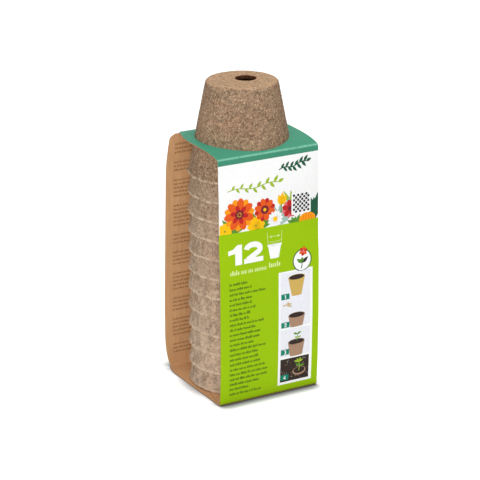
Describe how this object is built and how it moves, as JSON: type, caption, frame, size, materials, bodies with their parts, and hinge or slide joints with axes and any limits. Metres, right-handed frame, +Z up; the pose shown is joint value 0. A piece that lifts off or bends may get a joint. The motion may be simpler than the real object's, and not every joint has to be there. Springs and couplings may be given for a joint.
{
  "type": "peat pot",
  "caption": "Round tapered peat pots nested upside down in a folded card sleeve; the top pot stands out through a round hole in the top panel.",
  "frame": {"origin": "where the stack's axis meets the underside of the sleeve, the face the pack stands on", "axes": "+Z up along the stack's axis, +X to the right when facing the printed front, which looks towards -Y"},
  "size_m": [0.0628, 0.0656, 0.176],
  "materials": {
    "peat_fibre": "rough moulded peat and wood fibre, brown with dark and pale specks",
    "printed_board": "kraft board, printed outside, bare brown inside",
    "print_ink": "matt printing ink on the board"
  },
  "bodies": {
    "sleeve": {"sleeve": "printed_board"},
    "pot_01": {"pot_01": "peat_fibre"},
    "pot_02": {"pot_02": "peat_fibre"},
    "pot_03": {"pot_03": "peat_fibre"},
    "pot_04": {"pot_04": "peat_fibre"},
    "pot_05": {"pot_05": "peat_fibre"},
    "pot_06": {"pot_06": "peat_fibre"},
    "pot_07": {"pot_07": "peat_fibre"},
    "pot_08": {"pot_08": "peat_fibre"},
    "pot_09": {"pot_09": "peat_fibre"},
    "pot_10": {"pot_10": "peat_fibre"},
    "pot_11": {"pot_11": "peat_fibre"},
    "pot_12": {"pot_12": "peat_fibre"}
  },
  "joints": [
    {"name": "pot_01_turn", "type": "hinge", "parent": "sleeve", "child": "pot_01", "pos_m": [0, 0, 0.12376], "axis": [0, 0, 1], "continuous": true},
    {"name": "pot_02_turn", "type": "hinge", "parent": "sleeve", "child": "pot_02", "pos_m": [0, 0, 0.1126], "axis": [0, 0, 1], "continuous": true},
    {"name": "pot_03_turn", "type": "hinge", "parent": "sleeve", "child": "pot_03", "pos_m": [0, 0, 0.10144], "axis": [0, 0, 1], "continuous": true},
    {"name": "pot_04_turn", "type": "hinge", "parent": "sleeve", "child": "pot_04", "pos_m": [0, 0, 0.09028], "axis": [0, 0, 1], "continuous": true},
    {"name": "pot_05_turn", "type": "hinge", "parent": "sleeve", "child": "pot_05", "pos_m": [0, 0, 0.07912], "axis": [0, 0, 1], "continuous": true},
    {"name": "pot_06_turn", "type": "hinge", "parent": "sleeve", "child": "pot_06", "pos_m": [0, 0, 0.06796], "axis": [0, 0, 1], "continuous": true},
    {"name": "pot_07_turn", "type": "hinge", "parent": "sleeve", "child": "pot_07", "pos_m": [0, 0, 0.0568], "axis": [0, 0, 1], "continuous": true},
    {"name": "pot_08_turn", "type": "hinge", "parent": "sleeve", "child": "pot_08", "pos_m": [0, 0, 0.04564], "axis": [0, 0, 1], "continuous": true},
    {"name": "pot_09_turn", "type": "hinge", "parent": "sleeve", "child": "pot_09", "pos_m": [0, 0, 0.03448], "axis": [0, 0, 1], "continuous": true},
    {"name": "pot_10_turn", "type": "hinge", "parent": "sleeve", "child": "pot_10", "pos_m": [0, 0, 0.02332], "axis": [0, 0, 1], "continuous": true},
    {"name": "pot_11_turn", "type": "hinge", "parent": "sleeve", "child": "pot_11", "pos_m": [0, 0, 0.01216], "axis": [0, 0, 1], "continuous": true},
    {"name": "pot_12_turn", "type": "hinge", "parent": "sleeve", "child": "pot_12", "pos_m": [0, 0, 0.001], "axis": [0, 0, 1], "continuous": true}
  ]
}
